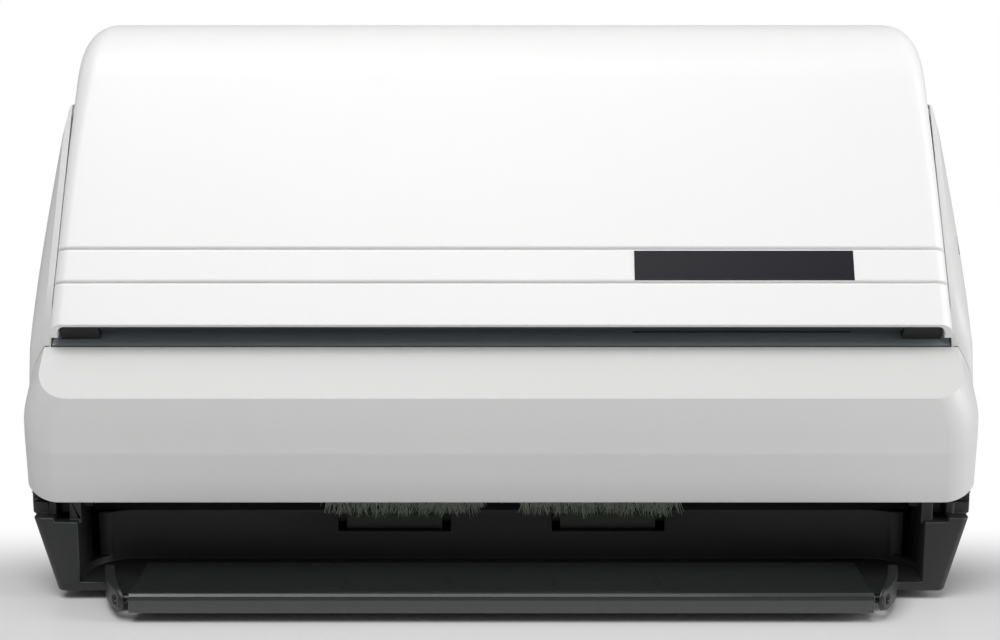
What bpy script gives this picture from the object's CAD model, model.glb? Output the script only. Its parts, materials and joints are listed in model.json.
import json
import math

import bmesh
import bpy
from mathutils import Matrix, Vector


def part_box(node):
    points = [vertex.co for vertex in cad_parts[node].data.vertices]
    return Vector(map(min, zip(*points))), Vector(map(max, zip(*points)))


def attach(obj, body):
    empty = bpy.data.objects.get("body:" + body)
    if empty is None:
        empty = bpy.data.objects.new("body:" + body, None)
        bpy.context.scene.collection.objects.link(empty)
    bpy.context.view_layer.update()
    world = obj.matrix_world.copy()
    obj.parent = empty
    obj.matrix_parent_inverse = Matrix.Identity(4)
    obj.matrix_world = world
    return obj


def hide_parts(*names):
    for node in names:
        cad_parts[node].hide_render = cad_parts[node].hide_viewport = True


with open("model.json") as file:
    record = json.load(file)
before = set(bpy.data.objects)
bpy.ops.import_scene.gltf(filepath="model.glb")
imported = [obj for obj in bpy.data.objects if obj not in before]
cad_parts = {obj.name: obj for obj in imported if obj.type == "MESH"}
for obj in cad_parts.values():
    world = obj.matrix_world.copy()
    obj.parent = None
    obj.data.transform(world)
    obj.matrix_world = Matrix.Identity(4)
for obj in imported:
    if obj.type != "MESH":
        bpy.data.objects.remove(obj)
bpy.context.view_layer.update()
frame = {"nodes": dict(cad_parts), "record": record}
nodes = frame["nodes"]

# The camera stands in front of the machine at about twice its width away,
# a little above the lid, and looks down at it by twelve degrees.
camera = bpy.data.objects.new("camera", bpy.data.cameras.new("camera"))
bpy.context.collection.objects.link(camera)
camera.location = (-0.0004, -0.6455, 0.2197)
camera.rotation_euler = (math.radians(90 - 12), 0, 0)
camera.data.lens = 66.0
camera.data.sensor_width = 36.0
camera.data.clip_start = 0.01
bpy.context.scene.camera = camera

# The table is a plain pale sheet that runs on behind the machine. Near the machine it keeps
# the soft shadow, and from the machine's middle backwards the camera sees it as white paper.
table_mesh = bpy.data.meshes.new("table")
table_mesh.from_pydata([(-6, -4, 0), (6, -4, 0), (6, 8, 0), (-6, 8, 0)], [], [(0, 1, 2, 3)])
table = bpy.data.objects.new("table", table_mesh)
bpy.context.collection.objects.link(table)
table_paint = bpy.data.materials.new("table paint")
table_paint.use_nodes = True
tree = table_paint.node_tree
paper = tree.nodes["Principled BSDF"]
paper.inputs["Base Color"].default_value = (0.82, 0.82, 0.825, 1)
paper.inputs["Roughness"].default_value = 0.3
paper.inputs["Specular IOR Level"].default_value = 0.5
where = tree.nodes.new("ShaderNodeTexCoord")
along = tree.nodes.new("ShaderNodeSeparateXYZ")
fade = tree.nodes.new("ShaderNodeMapRange")
fade.interpolation_type = "SMOOTHSTEP"
fade.inputs["From Min"].default_value = -0.045
fade.inputs["From Max"].default_value = 0.015
camera_ray = tree.nodes.new("ShaderNodeLightPath")
share = tree.nodes.new("ShaderNodeMath")
share.operation = "MULTIPLY"
white = tree.nodes.new("ShaderNodeEmission")
blend = tree.nodes.new("ShaderNodeMixShader")
tree.links.new(where.outputs["Object"], along.inputs[0])
tree.links.new(along.outputs["Y"], fade.inputs["Value"])
tree.links.new(fade.outputs[0], share.inputs[0])
tree.links.new(camera_ray.outputs["Is Camera Ray"], share.inputs[1])
tree.links.new(share.outputs[0], blend.inputs[0])
tree.links.new(paper.outputs[0], blend.inputs[1])
tree.links.new(white.outputs[0], blend.inputs[2])
tree.links.new(blend.outputs[0], tree.nodes["Material Output"].inputs["Surface"])
table_mesh.materials.append(table_paint)

# The room is a white studio: a large soft box high in front, a little to the left, a weaker one
# above the machine, a low one on the right for the shoulder on that side, and an even surround
# that the camera sees as white.
room = bpy.data.worlds.new("studio")
room.use_nodes = True
bpy.context.scene.world = room
background = room.node_tree.nodes["Background"]
background.inputs["Color"].default_value = (1, 1, 1, 1)
light_path = room.node_tree.nodes.new("ShaderNodeLightPath")
seen = room.node_tree.nodes.new("ShaderNodeMath")
seen.operation = "MAXIMUM"
level = room.node_tree.nodes.new("ShaderNodeMapRange")
level.inputs["To Min"].default_value = 0.2
level.inputs["To Max"].default_value = 1.0
room.node_tree.links.new(light_path.outputs["Is Camera Ray"], seen.inputs[0])
room.node_tree.links.new(light_path.outputs["Is Transmission Ray"], seen.inputs[1])
room.node_tree.links.new(seen.outputs[0], level.inputs["Value"])
room.node_tree.links.new(level.outputs[0], background.inputs["Strength"])
bpy.context.scene.view_settings.view_transform = "Standard"


def soft_box(name, place, target, size, watts):
    """Hangs one rectangular lamp that faces a point."""
    lamp = bpy.data.lights.new(name, "AREA")
    lamp.shape = "RECTANGLE"
    lamp.size, lamp.size_y = size
    lamp.energy = watts
    holder = bpy.data.objects.new(name, lamp)
    holder.location = place
    holder.rotation_euler = (Vector(target) - Vector(place)).to_track_quat("-Z", "Y").to_euler()
    bpy.context.collection.objects.link(holder)


soft_box("high box", (-0.25, -0.6, 1.3), (0, 0, 0.1), (1.2, 0.8), 11.8)
soft_box("top box", (-0.2, -0.1, 1.35), (0, 0, 0.15), (1.2, 0.8), 2.6)
soft_box("right box", (1.25, -0.3, 0.5), (0.1, 0, 0.1), (0.4, 0.7), 7.5)


# Base housing: the black tub that carries everything, injection moulded in one piece with the
# output bay, the two front pillars and the ears of the flap. Its skin is finely spark-textured,
# and every moulded edge is slightly round.
def node_group(name, inputs, outputs):
    """Starts a shader node group with named inputs (name, kind, value) and outputs (name, kind)."""
    group = bpy.data.node_groups.new(name, "ShaderNodeTree")
    for label, kind, value in inputs:
        socket = group.interface.new_socket(label, in_out="INPUT", socket_type=kind)
        socket.default_value = value
    for label, kind in outputs:
        group.interface.new_socket(label, in_out="OUTPUT", socket_type=kind)
    start = group.nodes.new("NodeGroupInput")
    end = group.nodes.new("NodeGroupOutput")
    return group, start, end


def add_node(owner, kind, links=(), **settings):
    """Places one node, sets its fields and sockets, and links (socket, output) pairs into it."""
    node = owner.nodes.new(kind)
    for field, value in settings.items():
        if hasattr(node, field):
            setattr(node, field, value)
        else:
            node.inputs[field.replace("_", " ")].default_value = value
    for socket, output in links:
        owner.links.new(output, node.inputs[socket])
    return node


moulded_skin, skin_in, skin_out = node_group(
    "moulded skin",
    [
        ("Colour", "NodeSocketColor", (0.5, 0.5, 0.5, 1)),
        ("Shade", "NodeSocketColor", (0.45, 0.45, 0.45, 1)),
        ("Grain Scale", "NodeSocketFloat", 3000.0),
        ("Cloud Scale", "NodeSocketFloat", 18.0),
        ("Rough Low", "NodeSocketFloat", 0.4),
        ("Rough High", "NodeSocketFloat", 0.5),
    ],
    [("Colour", "NodeSocketColor"), ("Roughness", "NodeSocketFloat"), ("Height", "NodeSocketFloat")],
)
first_colour, second_colour, mixed_colour = 6, 7, 2
spot = add_node(moulded_skin, "ShaderNodeTexCoord").outputs["Object"]
fine = [("Vector", spot), ("Scale", skin_in.outputs["Grain Scale"])]
coarse = [("Vector", spot), ("Scale", skin_in.outputs["Cloud Scale"])]
grain = add_node(moulded_skin, "ShaderNodeTexNoise", fine, Detail=2.0)
pits = add_node(moulded_skin, "ShaderNodeTexVoronoi", fine)
cloud = add_node(moulded_skin, "ShaderNodeTexNoise", coarse, Detail=4.0)
tone = add_node(moulded_skin, "ShaderNodeMix", data_type="RGBA")
moulded_skin.links.new(cloud.outputs["Fac"], tone.inputs["Factor"])
moulded_skin.links.new(skin_in.outputs["Colour"], tone.inputs[first_colour])
moulded_skin.links.new(skin_in.outputs["Shade"], tone.inputs[second_colour])
sheen = [("To Min", skin_in.outputs["Rough Low"]), ("To Max", skin_in.outputs["Rough High"])]
gloss = add_node(moulded_skin, "ShaderNodeMapRange", [("Value", cloud.outputs["Fac"]), *sheen])
bumps = [(0, grain.outputs["Fac"]), (1, pits.outputs["Distance"])]
relief = add_node(moulded_skin, "ShaderNodeMath", bumps, operation="ADD")
moulded_skin.links.new(tone.outputs[mixed_colour], skin_out.inputs["Colour"])
moulded_skin.links.new(gloss.outputs[0], skin_out.inputs["Roughness"])
moulded_skin.links.new(relief.outputs[0], skin_out.inputs["Height"])


def moulded(name, colour, shade, grain_scale, rough, relief_depth, cloud_scale=18.0, **surface):
    """A moulded plastic or rubber: two close tones, a fine grain and an uneven sheen."""
    material = bpy.data.materials.new(name)
    material.use_nodes = True
    tree = material.node_tree
    skin = tree.nodes.new("ShaderNodeGroup")
    skin.node_tree = moulded_skin
    skin.inputs["Colour"].default_value = (*colour, 1)
    skin.inputs["Shade"].default_value = (*shade, 1)
    skin.inputs["Grain Scale"].default_value = grain_scale
    skin.inputs["Cloud Scale"].default_value = cloud_scale
    skin.inputs["Rough Low"].default_value = rough[0]
    skin.inputs["Rough High"].default_value = rough[1]
    bump = add_node(tree, "ShaderNodeBump", [("Height", skin.outputs["Height"])], Distance=relief_depth)
    shader = tree.nodes["Principled BSDF"]
    tree.links.new(skin.outputs["Colour"], shader.inputs["Base Color"])
    tree.links.new(skin.outputs["Roughness"], shader.inputs["Roughness"])
    tree.links.new(bump.outputs[0], shader.inputs["Normal"])
    for socket, value in surface.items():
        shader.inputs[socket.replace("_", " ")].default_value = value
    return material


def coat(material, *names):
    """Gives CAD nodes one material all over."""
    for name in names:
        for holder in nodes[name].material_slots:
            holder.material = material


def body_with(node):
    """Name of the body that a node belongs to."""
    bodies = frame["record"]["behaviour"]["bodies"]
    return next(name for name, members in bodies.items() if node in members)


def stand_in(name, mesh):
    """Puts a mesh into the scene as a plain object."""
    holder = bpy.data.objects.new(name, mesh)
    bpy.context.collection.objects.link(holder)
    return holder


def fit_piece(name, mesh, material, *replaced):
    """Puts a finished mesh into the scene as the piece that stands for one or more nodes."""
    piece = stand_in(name, mesh)
    mesh.materials.clear()
    mesh.materials.append(material)
    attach(piece, body_with(replaced[0]))
    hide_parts(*replaced)


def mesh_from(work, name):
    """Turns a bmesh into a mesh and frees it."""
    mesh = bpy.data.meshes.new(name)
    work.to_mesh(mesh)
    work.free()
    return mesh


def copy_of(node):
    """A node's mesh as a bmesh with its doubled vertices joined."""
    work = bmesh.new()
    work.from_mesh(nodes[node].data)
    bmesh.ops.remove_doubles(work, verts=work.verts, dist=0.000002)
    return work


def baked_mesh(holder, name):
    """Applies a holder's modifiers, removes the holder and returns the plain mesh."""
    depsgraph = bpy.context.evaluated_depsgraph_get()
    mesh = bpy.data.meshes.new_from_object(holder.evaluated_get(depsgraph))
    mesh.name = name
    bpy.data.objects.remove(holder)
    return mesh


def softened(node, radius, sharp=30.0, segments=3, rule=None, smooth=32.0):
    """Copy of a node's mesh with its sharp edges rounded inside its box; rule gives a share by edge."""
    work = copy_of(node)
    flat = math.radians(0.8)
    bmesh.ops.dissolve_limit(work, angle_limit=flat, verts=work.verts, edges=work.edges)
    share = work.edges.layers.float.new("bevel_weight_edge")
    for edge in work.edges:
        if len(edge.link_faces) == 2 and edge.calc_face_angle(0) > math.radians(sharp):
            edge[share] = rule(edge) if rule else 1.0
    holder = stand_in(node, mesh_from(work, node))
    bevel = holder.modifiers.new("edge", "BEVEL")
    bevel.limit_method = "WEIGHT"
    bevel.width = radius
    bevel.segments = segments
    bevel.use_clamp_overlap = False
    mesh = baked_mesh(holder, node)
    low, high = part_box(node)
    for vertex in mesh.vertices:
        vertex.co = [min(max(value, low[axis]), high[axis]) for axis, value in enumerate(vertex.co)]
    mesh.shade_smooth()
    mesh.set_sharp_from_angle(angle=math.radians(smooth))
    return mesh


black_shell = moulded(
    "black shell", (0.017, 0.019, 0.018), (0.022, 0.024, 0.022), 2600.0, (0.36, 0.46), 0.00002
)
fit_piece("base_tub", softened("base_housing", 0.0005), black_shell, "base_housing")

# Output flap: the front bar and its thin plate in one moulding, smoother than the base
# and therefore brighter along its top edge. It turns on two short black steel pins in the ears.
bar_plastic = moulded(
    "bar plastic", (0.022, 0.024, 0.024), (0.028, 0.03, 0.03), 2200.0, (0.2, 0.26), 0.000006,
    Coat_Weight=1.0, Coat_Roughness=0.12,
)
long_edge, bar_rear_y, bar_low_z = 0.1, -0.082, 0.008


def bar_edge(edge):
    """Share of the edge radius: full along the bar's upper front edge, small elsewhere."""
    rearmost = max(vertex.co.y for vertex in edge.verts)
    along = abs(edge.verts[0].co.x - edge.verts[1].co.x) > long_edge
    upper = min(vertex.co.z for vertex in edge.verts) > bar_low_z
    return 1.0 if along and upper and rearmost < bar_rear_y else 0.2


bar_mesh = softened("output_flap", 0.0014, sharp=20.0, segments=4, rule=bar_edge, smooth=50.0)
fit_piece("front_bar", bar_mesh, bar_plastic, "output_flap")

# Fascia: the white front door, one moulding 2.5 mm thick with the sloping ledge on top. Its long
# edges are crisp, its bottom edge sweeps up at both ends, and a soft shoulder runs round its ends.
white_shell = moulded("white shell", (0.73, 0.73, 0.725), (0.71, 0.71, 0.705), 1500.0, (0.4, 0.46), 0.000012)
millimetre = 0.001
casing_half, casing_corner, casing_front, casing_rear = 159.25, 12.0, -65.05, 85.05
foot_half, waist_z = 158.6, 62.0
mid_z, mid_half, top_z, top_half = 109.0, 157.6, 160.0, 150.5
lid_half, lid_lean, lip_y, lip_z = 150.6, 0.025, -50.6, 91.6
lid_slope = math.radians(59.8)
ledge_y, ledge_z, ledge_back, ledge_top = -64.05, 69.8, -45.05, 83.0
ledge_rise = (ledge_top - ledge_z) / (ledge_back - ledge_y)
door_bottom, door_sweep, door_sweep_run, door_sweep_power = 34.2, 4.3, 13.0, 1.9
door_foot_z, band_z = 36.0, 43.0
crease_z, crease_lean, crease_round, crease_clear = 51.3, 1.0, 0.6, 1.5
ledge_half, ledge_corner = 153.4, 11.0
shoulder_height, shoulder_bend, shoulder_steps = 14.9, 1.6, 8
shell_wall, shell_edge, shell_sharp = 2.5, 0.35, math.radians(35)
plan_marks, plan_steps = (0.2, 0.35, 0.65, 0.8, 1.0), (5, 16, 6, 16, 5)


def casing_reach(z):
    """Half width of the casing at a height: straight up to the waist, then an arc drawn in."""
    if z <= waist_z:
        return foot_half + (casing_half - foot_half) * z / waist_z
    bow = (z - waist_z) * (top_z - z) / ((mid_z - waist_z) * (top_z - mid_z))
    chord = casing_half + (top_half - casing_half) * (z - waist_z) / (top_z - waist_z)
    chord_mid = casing_half + (top_half - casing_half) * (mid_z - waist_z) / (top_z - waist_z)
    return chord + (mid_half - chord_mid) * bow


def plan_point(reach, front, corner, share):
    """Point (x, y) along a U-shaped plan from its left rear end round the front to its right rear end."""
    straight = ledge_back - front - corner
    across = 2 * (reach - corner)
    stretch = next(index for index, mark in enumerate(plan_marks) if share <= mark + 1e-9)
    before = plan_marks[stretch - 1] if stretch else 0.0
    part = (share - before) / (plan_marks[stretch] - before)
    turn = part * math.pi / 2
    if stretch == 0:
        return (-reach, ledge_back - part * straight)
    if stretch == 1:
        return (-reach + corner - corner * math.cos(turn), front + corner - corner * math.sin(turn))
    if stretch == 2:
        return (-reach + corner + part * across, front)
    if stretch == 3:
        return (reach - corner + corner * math.sin(turn), front + corner - corner * math.cos(turn))
    return (reach, front + corner + part * straight)


def fascia_column(share):
    """Points up the fascia's outer face at one share of its plan, from its bottom edge to its crease."""
    x, y = plan_point(casing_reach(door_foot_z), casing_front + crease_lean, casing_corner, share)
    run = max(abs(x) - (casing_half - door_sweep_run), 0) / door_sweep_run
    lift = door_sweep * min(run, 1) ** door_sweep_power
    points = [(x, y, door_bottom + lift)]
    for z in (band_z, crease_z - crease_round, crease_z, crease_z + crease_round):
        lean = crease_lean * abs(z - crease_z) / (crease_z - door_bottom)
        x, y = plan_point(casing_reach(z), casing_front + lean, casing_corner, share)
        points.append((x, y, z + lift))
    crease_x, crease_y = plan_point(ledge_half, ledge_y, ledge_corner, share)
    crease_height = ledge_z + (crease_y - ledge_y) * ledge_rise
    foot = max(crease_height - shoulder_height, crease_z + lift + crease_clear)
    lean = min(crease_lean * (foot - crease_z) / (ledge_z - crease_z), crease_lean)
    wide_x, wide_y = plan_point(casing_reach(foot), casing_front + lean, casing_corner, share)
    for step in range(shoulder_steps + 1):
        z = foot + (crease_height - foot) * step / shoulder_steps
        blend = (step / shoulder_steps) ** shoulder_bend
        points.append((wide_x + (crease_x - wide_x) * blend, wide_y + (crease_y - wide_y) * blend, z))
    return points


def weave(work, rows):
    """Fills a bmesh with the faces between rows of points in millimetres and returns its vertices."""
    grid = [[work.verts.new([value * millimetre for value in point]) for point in row] for row in rows]
    for first, second in zip(grid, grid[1:]):
        for index in range(len(first) - 1):
            work.faces.new((first[index], first[index + 1], second[index + 1], second[index]))
    return grid


def grid_mesh(rows, closed_caps=()):
    """Skin over rows of points, with extra faces over the given loops of (row, column)."""
    work = bmesh.new()
    grid = weave(work, rows)
    for loop in closed_caps:
        work.faces.new([grid[row][column] for row, column in loop])
    bmesh.ops.remove_doubles(work, verts=work.verts, dist=1e-6)
    bmesh.ops.recalc_face_normals(work, faces=work.faces)
    return work


def turn_outwards(work, axis, sign=1):
    """Turns a skin's faces round if on the whole they look against a side of one axis."""
    if sum(face.normal[axis] * face.calc_area() for face in work.faces) * sign < 0:
        bmesh.ops.reverse_faces(work, faces=work.faces)


def shell_mesh(work, name, thickness, lip_round, segments=3, window=None):
    """Gives an open skin its wall, rounds the wall's edges and cuts a window where one is given."""
    bmesh.ops.dissolve_degenerate(work, dist=0.00003, edges=work.edges)
    mesh = mesh_from(work, name)
    for slot in range(2):
        mesh.materials.append(None)
    holder = stand_in(name, mesh)
    wall = holder.modifiers.new("wall", "SOLIDIFY")
    wall.thickness = thickness * millimetre
    wall.offset = -1
    wall.material_offset_rim = 1
    mesh = baked_mesh(holder, name)
    rim = bmesh.new()
    rim.from_mesh(mesh)
    weight = rim.edges.layers.float.new("bevel_weight_edge")
    for edge in rim.edges:
        kinds = {face.material_index for face in edge.link_faces}
        if len(kinds) == 2 and edge.calc_face_angle(0) > math.radians(30):
            edge[weight] = 1.0
    for face in rim.faces:
        face.material_index = 0
    rim.to_mesh(mesh)
    rim.free()
    holder = stand_in(name, mesh)
    rounding = holder.modifiers.new("edges", "BEVEL")
    rounding.limit_method = "WEIGHT"
    rounding.width = lip_round * millimetre
    rounding.segments = segments
    if window:
        opening = holder.modifiers.new("window", "BOOLEAN")
        opening.operation = "DIFFERENCE"
        opening.object = window
    mesh = baked_mesh(holder, name)
    if window:
        bpy.data.objects.remove(window)
    mesh.shade_smooth()
    mesh.set_sharp_from_angle(angle=shell_sharp)
    return mesh


shares = []
for before, mark, steps in zip((0.0, *plan_marks), plan_marks, plan_steps):
    shares += [before + step / steps * (mark - before) for step in range(steps)]
shares.append(plan_marks[-1])
columns = [fascia_column(share) for share in shares]
ledge_loop = [(index, len(columns[0]) - 1) for index in range(len(columns))]
skin = grid_mesh(columns, [ledge_loop])
turn_outwards(skin, 2)
door_mesh = shell_mesh(skin, "front_door_cover", shell_wall, shell_edge)
fit_piece("front_door_cover", door_mesh, white_shell, "front_fascia")

# Side covers: white shells beside the lid. A narrow rim follows the lid's slope, a shoulder falls
# from it to the side, and the rim turns down beside the lid so that no gap shows.
seam, rim_drop, rim_gap, rim_width = 0.15, 5.0, 0.5, 2.6
rim_fall, rim_clear, flat_clear, inner_drop = 0.9, 0.3, 0.7, 9.0
flare_reach, skirt_steps = 6.0, 6
skirt_z, knee_z = 38.5, 64.0
cover_wall, cover_edge = 1.6, 0.3
hinge_y, hinge_z = 53.27, 166.49
rear_top_y = hinge_y + 0.5


def rim_height(y):
    """Height of the rim at a place from front to back."""
    slope_rim = lip_z + (y - lip_y) * math.tan(lid_slope) - rim_drop / math.cos(lid_slope)
    if y < slope_foot:
        foot_rim = lip_z + (slope_foot - lip_y) * math.tan(lid_slope) - rim_drop / math.cos(lid_slope)
        return ledge_top + (foot_rim - ledge_top) * (y - front_y) / (slope_foot - front_y)
    rear_rim = hinge_z - (y - rear_top_y) * (hinge_z - knee_z) / (casing_rear - rear_top_y)
    return min(slope_rim, top_z, rear_rim)


def cover_column(y):
    """Points (reach, z) up one side cover at a place from front to back, ending beside the lid."""
    rim = rim_height(y)
    inner = lid_half + rim_gap - lid_lean * (rim - lip_z)
    edge = 0.0
    if y > casing_rear - casing_corner:
        back = y - casing_rear + casing_corner
        edge = casing_corner - math.sqrt(max(casing_corner**2 - back**2, 0))
    flare = min(max((slope_head + flare_reach - y) / (2 * flare_reach), 0), 1)
    crease = min(inner + rim_width - rim_gap, casing_reach(rim) - edge - rim_clear)
    crease += (casing_reach(rim) - edge - flat_clear - crease) * (1 - flare)
    foot = rim - rim_fall - (shoulder_height - rim_fall) * flare
    points = []
    for step in range(skirt_steps + 1):
        z = skirt_z + (foot - skirt_z) * step / skirt_steps
        points.append((casing_reach(z) - edge, z))
    wide = points[-1][0]
    for step in range(1, shoulder_steps + 1):
        blend = (step / shoulder_steps) ** shoulder_bend
        points.append((wide + (crease - wide) * blend, foot + (rim - foot) * step / shoulder_steps))
    points.append(((crease + inner) / 2, rim))
    points.append((inner, rim))
    points.append((inner + lid_lean * inner_drop, rim - inner_drop))
    return points


front_y = ledge_back + seam
slope_foot = front_y + 3.0
slope_head = lip_y + (top_z - lip_z + rim_drop / math.cos(lid_slope)) / math.tan(lid_slope)
flat_end = rear_top_y + (hinge_z - top_z) * (casing_rear - rear_top_y) / (hinge_z - knee_z)
corner_start, corner_end = casing_rear - casing_corner, 0.92
cover_places = [front_y + 0.01, front_y + 1.5]
cover_places += [slope_foot + (slope_head - slope_foot) * step / 10 for step in range(11)]
cover_places += [slope_head + (flat_end - slope_head) * step / 8 for step in range(1, 9)]
cover_places += [flat_end + (corner_start - flat_end) * step / 4 for step in range(1, 5)]
cover_places += [corner_start + casing_corner * corner_end * step / 8 for step in range(1, 9)]
release_run, release_width, release_depth, release_length = 28.0, 7.0, 9.0, 36.0
cutter_size, cutter_sink = 20.0, 5.0
for side, sign in (("left", -1), ("right", 1)):
    rows = [[(sign * reach, y, z) for reach, z in cover_column(y)] for y in cover_places]
    skin = grid_mesh(rows)
    turn_outwards(skin, 0, sign)
    window = None
    if side == "right":
        cutter = bmesh.new()
        bmesh.ops.create_cube(cutter, size=millimetre)
        bmesh.ops.scale(cutter, vec=(cutter_size, release_width, release_length), verts=cutter.verts)
        bmesh.ops.rotate(cutter, matrix=Matrix.Rotation(lid_slope, 3, "X"), verts=cutter.verts)
        run, depth = release_run + release_width / 2, release_depth + release_length / 2
        middle_y = lip_y + run * math.cos(lid_slope) + depth * math.sin(lid_slope)
        middle_z = lip_z + run * math.sin(lid_slope) - depth * math.cos(lid_slope)
        middle = Vector((casing_half - cutter_sink, middle_y, middle_z)) * millimetre
        bmesh.ops.translate(cutter, vec=middle, verts=cutter.verts)
        window = stand_in("release window", mesh_from(cutter, "release window"))
    mesh = shell_mesh(skin, f"{side}_cover", cover_wall, cover_edge, window=window)
    fit_piece(f"{side}_cover", mesh, white_shell, f"{side}_side_cover")

# Lid: the deep white cover, one thin moulding with a straight sloping front and a round ridge.
# Two fine grooves run round its front, and its lip is rounded outside and shows its thickness.
dome_radius, dome_z = 32.0, 154.2
dome_y = lip_y + (dome_radius + (dome_z - lip_z) * math.cos(lid_slope)) / math.sin(lid_slope)
slope_length = (dome_y - lip_y) * math.cos(lid_slope) + (dome_z - lip_z) * math.sin(lid_slope)
groove_starts = (14.6, 26.6)
groove_width, groove_depth = 0.7, 1.2
groove_lead, groove_fall, groove_trail = 0.8, 0.1, 1.5
grow_start, grow_share, grow_rate = 0.35, 0.5, 2.2
slope_round, dome_round = 4.6, 10.5
wall_row, lip_shear = 1.2, 0.45
arc_steps, flat_steps, dome_steps = 10, 16, 40
lid_wall, lid_edge = 2.4, 0.8


def lid_outline():
    """Stations up the lid's front and over its ridge: (y, z, direction inwards, inset, edge round)."""
    down = (math.sin(lid_slope), -math.cos(lid_slope))
    stations = []
    runs = [(0.0, 0.0), (1.0, 0.0), (7.0, 0.0)]
    for start in groove_starts:
        stop = start + groove_width
        runs += [(start - groove_lead, 0.0), (start, 0.0), (start + groove_fall, groove_depth)]
        runs += [(stop - groove_fall, groove_depth), (stop, 0.0), (start + groove_trail, 0.0)]
    runs += [(slope_length * share, 0.0) for share in (0.42, 0.55, 0.7, 0.85, 1.0)]
    for run, inset in runs:
        rise = min(max((run / slope_length - grow_start) / (1 - grow_start), 0), 1)
        edge = slope_round + (dome_round - slope_round) * grow_share * rise * rise
        y = lip_y + run * math.cos(lid_slope)
        z = lip_z + run * math.sin(lid_slope)
        stations.append((y, z, down, inset, edge))
    start_turn, end_turn = 90 + math.degrees(lid_slope), 30.0
    for step in range(1, dome_steps + 1):
        share = step / dome_steps
        turn = math.radians(start_turn + (end_turn - start_turn) * share)
        grown = grow_share + (1 - grow_share) * min(share * grow_rate, 1)
        edge = slope_round + (dome_round - slope_round) * grown
        point = (dome_y + dome_radius * math.cos(turn), dome_z + dome_radius * math.sin(turn))
        stations.append((*point, (-math.cos(turn), -math.sin(turn)), 0.0, edge))
    return stations


def lid_section(station, front_end):
    """Points across one station from the left wall over the top to the right wall."""
    y, z, inwards, inset, edge = station
    half_section = [(edge + wall_row, 0.0)]
    for step in range(arc_steps + 1):
        turn = math.pi / 2 * step / arc_steps
        half_section.append((edge - (edge - inset) * math.sin(turn), edge - (edge - inset) * math.cos(turn)))
    points = []
    for depth, spread in half_section:
        shear = -lip_shear * depth if front_end else 0.0
        point_y = y + inwards[0] * depth + shear * math.cos(lid_slope)
        point_z = z + inwards[1] * depth + shear * math.sin(lid_slope)
        reach = lid_half - lid_lean * (point_z - lip_z) - spread
        points.append((-reach, point_y, point_z))
    left_x, middle_y, middle_z = points[-1]
    flat = [(left_x * (1 - 2 * step / flat_steps), middle_y, middle_z) for step in range(1, flat_steps)]
    return points + flat + [(-x, y, z) for x, y, z in reversed(points)]


stations = lid_outline()
rows = [lid_section(station, index == 0) for index, station in enumerate(stations)]
lid_back = (45.8, 163.0)
rows.append([(x, *lid_back) for x, y, z in rows[-1]])
work = bmesh.new()
grid = weave(work, rows)
under_points = [(33.4, 149.2), (-46.2, 86.4)]
for side in (0, -1):
    sign = -1 if side == 0 else 1
    under = []
    for y, z in under_points:
        reach = lid_half - lid_lean * (z - lip_z)
        under.append(work.verts.new((sign * reach * millimetre, y * millimetre, z * millimetre)))
    chain = [row[side] for row in grid] + under
    work.faces.new(chain if side == 0 else list(reversed(chain)))
bmesh.ops.recalc_face_normals(work, faces=work.faces)
if max(work.faces, key=lambda face: face.calc_center_median().z).normal.z < 0:
    bmesh.ops.reverse_faces(work, faces=work.faces)
lid_mesh = shell_mesh(work, "lid_cover", lid_wall, lid_edge, segments=4)

# The two knuckles that take the hinge pins stand on the rear edge of the same moulding.
knuckle_station, knuckle_reach, knuckle_back, knuckle_low = 100.0, 9.5, 24.0, 155.0
knuckle_copy = copy_of("lid_shell")
away = []
for face in knuckle_copy.faces:
    centre = face.calc_center_median() / millimetre
    beside = abs(abs(centre.x) - knuckle_station) > knuckle_reach
    before = max(vertex.co.y for vertex in face.verts) / millimetre < dome_y + knuckle_back
    if beside or before or centre.z < knuckle_low:
        away.append(face)
bmesh.ops.delete(knuckle_copy, geom=away, context="FACES")
knuckle_copy.from_mesh(lid_mesh)
knuckle_copy.to_mesh(lid_mesh)
knuckle_copy.free()
lid_mesh.shade_smooth()
lid_mesh.set_sharp_from_angle(angle=shell_sharp)
lid_white = moulded("lid white", (0.93, 0.93, 0.925), (0.915, 0.915, 0.91), 1500.0, (0.36, 0.42), 0.00001)
fit_piece("lid_cover", lid_mesh, lid_white, "lid_shell")

# Badge: a bare navy-black plate glued on the lid between its two grooves, its rim finely rounded
# and its face satin. It stands 0.12 mm proud of the lid.
badge_span, badge_run, badge_proud, badge_thick = (44.5, 118.5), (15.5, 26.4), 0.12, 1.0
badge_edge = 0.18
plate = bmesh.new()
bmesh.ops.create_cube(plate, size=millimetre)
badge_scale = (badge_span[1] - badge_span[0], badge_run[1] - badge_run[0], badge_thick)
bmesh.ops.scale(plate, vec=badge_scale, verts=plate.verts)
bmesh.ops.bevel(
    plate, geom=plate.edges, offset=badge_edge * millimetre, segments=2, affect="EDGES", clamp_overlap=True
)
bmesh.ops.rotate(plate, matrix=Matrix.Rotation(lid_slope, 3, "X"), verts=plate.verts)
run, rise = sum(badge_run) / 2, badge_proud - badge_thick / 2
middle_y = lip_y + run * math.cos(lid_slope) - rise * math.sin(lid_slope)
middle_z = lip_z + run * math.sin(lid_slope) + rise * math.cos(lid_slope)
middle = Vector((sum(badge_span) / 2, middle_y, middle_z)) * millimetre
bmesh.ops.translate(plate, vec=middle, verts=plate.verts)
badge_black = moulded(
    "badge black", (0.009, 0.009, 0.014), (0.012, 0.012, 0.017), 1800.0, (0.34, 0.4), 0.000004,
    Specular_IOR_Level=0.2,
)
fit_piece("badge", mesh_from(plate, "badge"), badge_black, "badge_plate")

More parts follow.
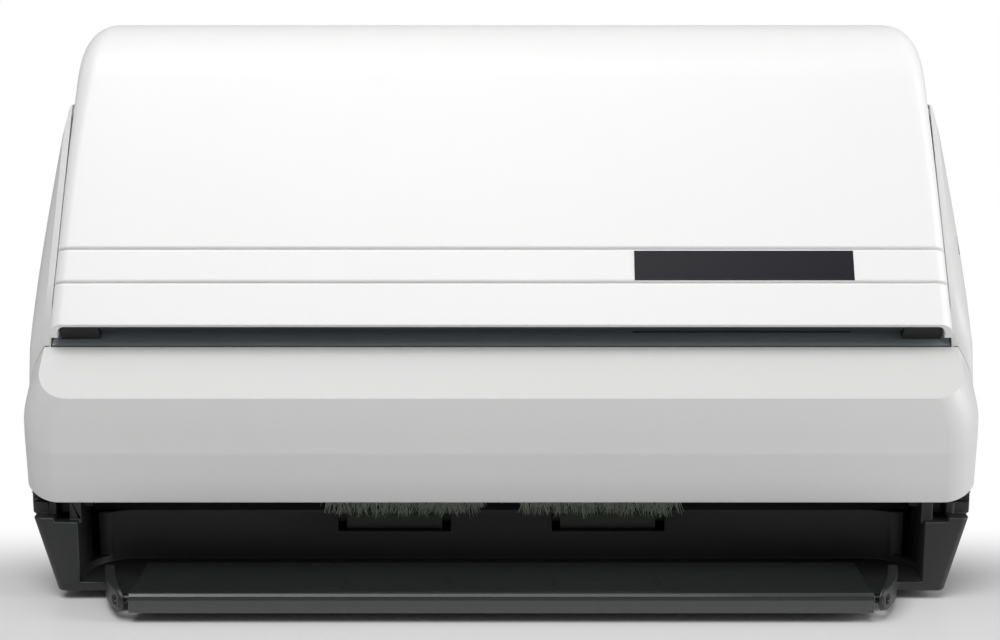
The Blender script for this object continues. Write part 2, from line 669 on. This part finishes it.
# Antistatic brush: a thin strip under the door with tufts of grey-green conductive fibre.
# The tufts lean and differ in length, and they are short in the middle of the strip.
bristle_tree = bpy.data.node_groups.new("bristles", "GeometryNodeTree")
brush_inputs = {}
for label, kind, value in (
    ("Count", "NodeSocketInt", 900),
    ("Half Width", "NodeSocketFloat", 0.06),
    ("Length", "NodeSocketFloat", 0.006),
    ("Thickness", "NodeSocketFloat", 0.00016),
    ("Seed", "NodeSocketInt", 7),
    ("Fibre", "NodeSocketMaterial", None),
):
    socket = bristle_tree.interface.new_socket(label, in_out="INPUT", socket_type=kind)
    if value is not None:
        socket.default_value = value
    brush_inputs[label] = socket.identifier
bristle_tree.interface.new_socket("Strands", in_out="OUTPUT", socket_type="NodeSocketGeometry")
given = bristle_tree.nodes.new("NodeGroupInput")
roots = add_node(bristle_tree, "GeometryNodeMeshLine", [("Count", given.outputs["Count"])], mode="OFFSET")
roots.inputs["Offset"].default_value = (0, 0, 0)


def scatter(seed_step, low, high):
    """Random vector between two vectors for each strand."""
    seed = add_node(bristle_tree, "ShaderNodeMath", [(0, given.outputs["Seed"])], operation="ADD")
    seed.inputs[1].default_value = seed_step
    value = bristle_tree.nodes.new("FunctionNodeRandomValue")
    value.data_type = "FLOAT_VECTOR"
    value.inputs["Min"].default_value = low
    value.inputs["Max"].default_value = high
    bristle_tree.links.new(seed.outputs[0], value.inputs["Seed"])
    return value.outputs["Value"]


place = scatter(0, (-1, -1, 0), (1, 1, 0))
span = add_node(bristle_tree, "ShaderNodeCombineXYZ", [("X", given.outputs["Half Width"])], Y=0.0008)
reach = [(0, place), (1, span.outputs[0])]
spread = add_node(bristle_tree, "ShaderNodeVectorMath", reach, operation="MULTIPLY")
placed = [("Geometry", roots.outputs[0]), ("Offset", spread.outputs[0])]
moved = add_node(bristle_tree, "GeometryNodeSetPosition", placed)
spot = bristle_tree.nodes.new("GeometryNodeInputPosition").outputs[0]
tuft = add_node(bristle_tree, "ShaderNodeTexNoise", [("Vector", spot)], Scale=420.0, Detail=1.0)
sides = add_node(bristle_tree, "ShaderNodeSeparateXYZ", [(0, spot)])
from_middle = add_node(bristle_tree, "ShaderNodeMath", [(0, sides.outputs[0])], operation="ABSOLUTE")
sparse = add_node(bristle_tree, "ShaderNodeMapRange", [("Value", from_middle.outputs[0])])
sparse.inputs["From Min"].default_value = 0.005
sparse.inputs["From Max"].default_value = 0.009
sparse.inputs["To Min"].default_value = 0.35
length = add_node(bristle_tree, "ShaderNodeMapRange", [("Value", tuft.outputs["Fac"])])
length.inputs["From Min"].default_value = 0.3
length.inputs["From Max"].default_value = 0.65
length.inputs["To Min"].default_value = 0.45
factors = [(0, length.outputs[0]), (1, sparse.outputs[0])]
size = add_node(bristle_tree, "ShaderNodeMath", factors, operation="MULTIPLY")
tall = add_node(bristle_tree, "ShaderNodeCombineXYZ", [("Z", size.outputs[0])], X=1.0, Y=1.0)
form = [("Depth", given.outputs["Length"]), ("Radius Bottom", given.outputs["Thickness"])]
strand = add_node(bristle_tree, "GeometryNodeMeshCone", form, Vertices=5)
strand.inputs["Radius Top"].default_value = 0.00004
lean = scatter(3, (math.pi - 0.1, -0.42, 0), (math.pi + 0.3, 0.42, 0))
sown = [("Points", moved.outputs[0]), ("Instance", strand.outputs[0])]
sown += [("Rotation", lean), ("Scale", tall.outputs[0])]
strands = add_node(bristle_tree, "GeometryNodeInstanceOnPoints", sown)
solid = add_node(bristle_tree, "GeometryNodeRealizeInstances", [(0, strands.outputs[0])])
look = [("Geometry", solid.outputs[0]), ("Material", given.outputs["Fibre"])]
painted = add_node(bristle_tree, "GeometryNodeSetMaterial", look)
result = bristle_tree.nodes.new("NodeGroupOutput")
bristle_tree.links.new(painted.outputs[0], result.inputs[0])
brush_low, brush_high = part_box("antistatic_brush")
brush_x = (brush_high[0] - brush_low[0]) / 2
brush_middle = (brush_low[1] + brush_high[1]) / 2
strip_height, strip_side, root_height = 0.003, 0.0006, 0.0003
strip_foot = brush_high[2] - strip_height
fibre = moulded("bristle fibre", (0.58, 0.63, 0.53), (0.2, 0.23, 0.18), 900.0, (0.5, 0.6), 0.000002, 900.0)
brush_holder = stand_in("brush", bpy.data.meshes.new("brush"))
growth = brush_holder.modifiers.new("growth", "NODES")
growth.node_group = bristle_tree
strand_values = {
    "Count": 1100,
    "Half Width": brush_x - strip_side,
    "Length": 0.0085,
    "Thickness": 0.00022,
    "Fibre": fibre,
}
for label, value in strand_values.items():
    growth[brush_inputs[label]] = value
strand_mesh = baked_mesh(brush_holder, "brush")
bundle = bmesh.new()
bundle.from_mesh(strand_mesh)
bmesh.ops.translate(bundle, vec=(0, brush_middle, strip_foot + root_height), verts=bundle.verts)
front, back = brush_low[1], brush_high[1]
strip_plan = [(-brush_x, front), (brush_x, front), (brush_x, back), (-brush_x, back)]
strip_corners = [bundle.verts.new((x, y, z)) for z in (strip_foot, brush_high[2]) for x, y in strip_plan]
for loop in ((3, 2, 1, 0), (4, 5, 6, 7), (0, 1, 5, 4), (1, 2, 6, 5), (2, 3, 7, 6), (3, 0, 4, 7)):
    bundle.faces.new([strip_corners[index] for index in loop])
bundle.to_mesh(strand_mesh)
bundle.free()
fit_piece("brush", strand_mesh, fibre, "antistatic_brush")

# Finishes of the remaining pieces, slot by slot. The inner frames and liners are black plastic,
# the panel is slate, its inlay and window are polished acrylic, and the release strip sits further
# out than its node by as much as the dressed side cover does.
rear_white = moulded("rear white", (0.76, 0.76, 0.755), (0.74, 0.74, 0.735), 1500.0, (0.42, 0.5), 0.000012)
coat(rear_white, "rear_cover")
liner_black = moulded(
    "liner black", (0.022, 0.023, 0.024), (0.03, 0.031, 0.032), 2200.0, (0.42, 0.52), 0.000016
)
coat(liner_black, "door_inner_frame", "lid_liner", "chute_extension", "feed_bed", "front_unit_frame")
coat(liner_black, "left_paper_guide", "right_paper_guide", "pad_holder", "sensor_lever", "power_switch")
slate = moulded("slate panel", (0.24, 0.27, 0.29), (0.255, 0.285, 0.305), 1800.0, (0.4, 0.48), 0.000012)
coat(slate, "control_panel")
inlay_gloss = moulded(
    "inlay gloss", (0.1, 0.115, 0.125), (0.11, 0.125, 0.135), 400.0, (0.08, 0.12), 0.000001,
    Coat_Weight=0.6,
)
coat(inlay_gloss, "panel_inlay", "display_window")
key_grey = moulded("key grey", (0.34, 0.36, 0.38), (0.3, 0.32, 0.34), 1600.0, (0.34, 0.42), 0.000006)
coat(key_grey, "scan_button", "up_button", "down_button")
strip_shift = 0.0017
strip_grey = moulded("release grey", (0.26, 0.26, 0.255), (0.23, 0.23, 0.225), 1500.0, (0.4, 0.48), 0.00001)
strip_copy = copy_of("release_button")
bmesh.ops.translate(strip_copy, vec=(strip_shift, 0, 0), verts=strip_copy.verts)
fit_piece("release_strip", mesh_from(strip_copy, "release_strip"), strip_grey, "release_button")
stop_rubber = moulded("stop rubber", (0.012, 0.012, 0.013), (0.02, 0.02, 0.02), 1200.0, (0.62, 0.75), 0.00003)
coat(stop_rubber, "lid_corner_blocks", "rubber_feet")
inlet_black = moulded("inlet black", (0.02, 0.02, 0.021), (0.028, 0.028, 0.028), 1800.0, (0.4, 0.5), 0.00001)
coat(inlet_black, "dc_inlet", "power_rocker", "front_image_sensor", "rear_image_sensor")
acetal = moulded(
    "acetal", (0.72, 0.71, 0.66), (0.66, 0.65, 0.6), 1500.0, (0.34, 0.42), 0.000008,
    Subsurface_Weight=0.05,
)
coat(acetal, "guide_pinion")

# Metals: drawn and rolled steel, zinc-plated sheet, brass and the motor's can. All have a fine
# directional grain and faint cloudy stains.
metal_face, metal_in, metal_out = node_group(
    "metal face",
    [
        ("Colour", "NodeSocketColor", (0.6, 0.6, 0.6, 1)),
        ("Stain", "NodeSocketColor", (0.4, 0.4, 0.4, 1)),
        ("Grain", "NodeSocketVector", (60.0, 4000.0, 4000.0)),
        ("Stain Scale", "NodeSocketFloat", 60.0),
    ],
    [("Colour", "NodeSocketColor"), ("Roughness", "NodeSocketFloat"), ("Height", "NodeSocketFloat")],
)
spot = add_node(metal_face, "ShaderNodeTexCoord").outputs["Object"]
stretched = [(0, spot), (1, metal_in.outputs["Grain"])]
drawn = add_node(metal_face, "ShaderNodeVectorMath", stretched, operation="MULTIPLY")
lines = add_node(metal_face, "ShaderNodeTexNoise", [("Vector", drawn.outputs[0])], Scale=1.0, Detail=3.0)
stain_size = [("Vector", spot), ("Scale", metal_in.outputs["Stain Scale"])]
stains = add_node(metal_face, "ShaderNodeTexNoise", stain_size, Detail=5.0)
stained = add_node(metal_face, "ShaderNodeMix", data_type="RGBA")
metal_face.links.new(stains.outputs["Fac"], stained.inputs["Factor"])
metal_face.links.new(metal_in.outputs["Colour"], stained.inputs[first_colour])
metal_face.links.new(metal_in.outputs["Stain"], stained.inputs[second_colour])
dull = add_node(metal_face, "ShaderNodeMapRange", [("Value", lines.outputs["Fac"])])
dull.inputs["To Min"].default_value = 0.22
dull.inputs["To Max"].default_value = 0.42
metal_face.links.new(stained.outputs[mixed_colour], metal_out.inputs["Colour"])
metal_face.links.new(dull.outputs[0], metal_out.inputs["Roughness"])
metal_face.links.new(lines.outputs["Fac"], metal_out.inputs["Height"])


def metal(name, colour, stain, grain, stain_scale=60.0):
    """A metal with its own grain direction, as frequencies along X, Y and Z."""
    material = bpy.data.materials.new(name)
    material.use_nodes = True
    tree = material.node_tree
    face = tree.nodes.new("ShaderNodeGroup")
    face.node_tree = metal_face
    face.inputs["Colour"].default_value = (*colour, 1)
    face.inputs["Stain"].default_value = (*stain, 1)
    face.inputs["Grain"].default_value = grain
    face.inputs["Stain Scale"].default_value = stain_scale
    bump = add_node(tree, "ShaderNodeBump", [("Height", face.outputs["Height"])], Distance=0.000003)
    shader = tree.nodes["Principled BSDF"]
    shader.inputs["Metallic"].default_value = 1.0
    tree.links.new(face.outputs["Colour"], shader.inputs["Base Color"])
    tree.links.new(face.outputs["Roughness"], shader.inputs["Roughness"])
    tree.links.new(bump.outputs[0], shader.inputs["Normal"])
    return material


steel_pin = metal("steel pin", (0.62, 0.62, 0.63), (0.5, 0.5, 0.5), (4000.0, 60.0, 60.0))
coat(steel_pin, "lid_hinge_pins", "exit_pinch_rollers", "lower_pinch_rollers", "upper_pinch_rollers")
black_pin = metal("black oxide pin", (0.05, 0.05, 0.052), (0.03, 0.03, 0.03), (4000.0, 60.0, 60.0))
coat(black_pin, "door_hinge_pins", "flap_pins")
zinc_sheet = metal("zinc sheet", (0.56, 0.57, 0.58), (0.42, 0.43, 0.44), (900.0, 60.0, 2500.0), 140.0)
coat(zinc_sheet, "chassis_beams", "left_chassis_plate", "right_chassis_plate", "lan_socket", "usb_socket")
coat(metal("screw steel", (0.42, 0.42, 0.43), (0.3, 0.3, 0.3), (900.0, 900.0, 900.0), 300.0), "screws")
brass = metal("brass", (0.66, 0.5, 0.24), (0.5, 0.36, 0.16), (3000.0, 200.0, 200.0), 200.0)
coat(brass, "motor_pinion", "shaft_bushes")
coat(metal("motor can", (0.46, 0.46, 0.48), (0.34, 0.34, 0.36), (200.0, 2500.0, 2500.0)), "drive_motor")

# Rollers: grey-green rubber sleeves, ground to a matt face, on drawn steel shafts. What lies
# within the shaft's radius of the axis is steel.
rubber = ((0.085, 0.095, 0.085), (0.065, 0.073, 0.066), 1500.0, (0.6, 0.72), 0.00003, 90.0)


def rubber_on_steel(name, node, shaft_radius):
    """Material of one roller, parted into sleeve and shaft by the distance from its axis."""
    low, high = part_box(node)
    steel_rough = 0.28
    material = moulded(name, *rubber)
    tree = material.node_tree
    shader = tree.nodes["Principled BSDF"]
    spot = add_node(tree, "ShaderNodeTexCoord").outputs["Object"]
    place = add_node(tree, "ShaderNodeSeparateXYZ", [(0, spot)])
    squares = []
    for axis in (1, 2):
        offset = add_node(tree, "ShaderNodeMath", [(0, place.outputs[axis])], operation="SUBTRACT")
        offset.inputs[1].default_value = (low[axis] + high[axis]) / 2
        square = add_node(tree, "ShaderNodeMath", [(0, offset.outputs[0])], operation="POWER")
        square.inputs[1].default_value = 2.0
        squares.append(square.outputs[0])
    total = add_node(tree, "ShaderNodeMath", [(0, squares[0]), (1, squares[1])], operation="ADD")
    inside = add_node(tree, "ShaderNodeMath", [(0, total.outputs[0])], operation="LESS_THAN")
    inside.inputs[1].default_value = (shaft_radius * millimetre) ** 2
    sleeve_colour = shader.inputs["Base Color"].links[0].from_socket
    sleeve_rough = shader.inputs["Roughness"].links[0].from_socket
    colour = add_node(tree, "ShaderNodeMix", data_type="RGBA")
    colour.inputs[second_colour].default_value = (0.6, 0.6, 0.62, 1)
    rough = add_node(tree, "ShaderNodeMix", [("Factor", inside.outputs[0])])
    rough.inputs[3].default_value = steel_rough
    tree.links.new(inside.outputs[0], colour.inputs["Factor"])
    tree.links.new(sleeve_colour, colour.inputs[first_colour])
    tree.links.new(sleeve_rough, rough.inputs[2])
    tree.links.new(colour.outputs[mixed_colour], shader.inputs["Base Color"])
    tree.links.new(rough.outputs[0], shader.inputs["Roughness"])
    tree.links.new(inside.outputs[0], shader.inputs["Metallic"])
    return material


shaft_radii = {"feed_roller": 4.2, "upper_drive_roller": 3.2, "lower_drive_roller": 3.2, "exit_roller": 3.2}
for node, radius in shaft_radii.items():
    coat(rubber_on_steel(node.replace("_", " "), node, radius), node)
coat(moulded("soft rubber", *rubber), "eject_rollers", "separation_pad")
belt_black = moulded(
    "belt rubber", (0.018, 0.018, 0.018), (0.03, 0.03, 0.028), 2600.0, (0.55, 0.68), 0.00003, 200.0
)
coat(belt_black, "timing_belts")

# Circuit boards: green solder mask over copper, which shows as paler tracks.
board_green = moulded(
    "solder mask", (0.012, 0.1, 0.035), (0.02, 0.15, 0.05), 300.0, (0.22, 0.32), 0.000008, 500.0
)
tree = board_green.node_tree
shader = tree.nodes["Principled BSDF"]
spot = add_node(tree, "ShaderNodeTexCoord").outputs["Object"]
tracks = add_node(tree, "ShaderNodeTexBrick", [("Vector", spot)])
for label, value in (("Scale", 260.0), ("Mortar Size", 0.09), ("Brick Width", 1.7), ("Row Height", 0.4)):
    tracks.inputs[label].default_value = value
track_mix = add_node(tree, "ShaderNodeMix", [("Factor", tracks.outputs["Fac"])], data_type="RGBA")
tree.links.new(shader.inputs["Base Color"].links[0].from_socket, track_mix.inputs[first_colour])
track_mix.inputs[second_colour].default_value = (0.05, 0.24, 0.09, 1)
tree.links.new(track_mix.outputs[mixed_colour], shader.inputs["Base Color"])
coat(board_green, "control_board", "main_board")

# Sensor glass: two clear glass strips over the image sensors, faintly green.
clear_glass = moulded(
    "sensor glass", (0.86, 0.93, 0.9), (0.8, 0.9, 0.86), 200.0, (0.02, 0.05), 0.0000005,
    Transmission_Weight=0.85,
)
coat(clear_glass, "front_sensor_glass", "rear_sensor_glass")
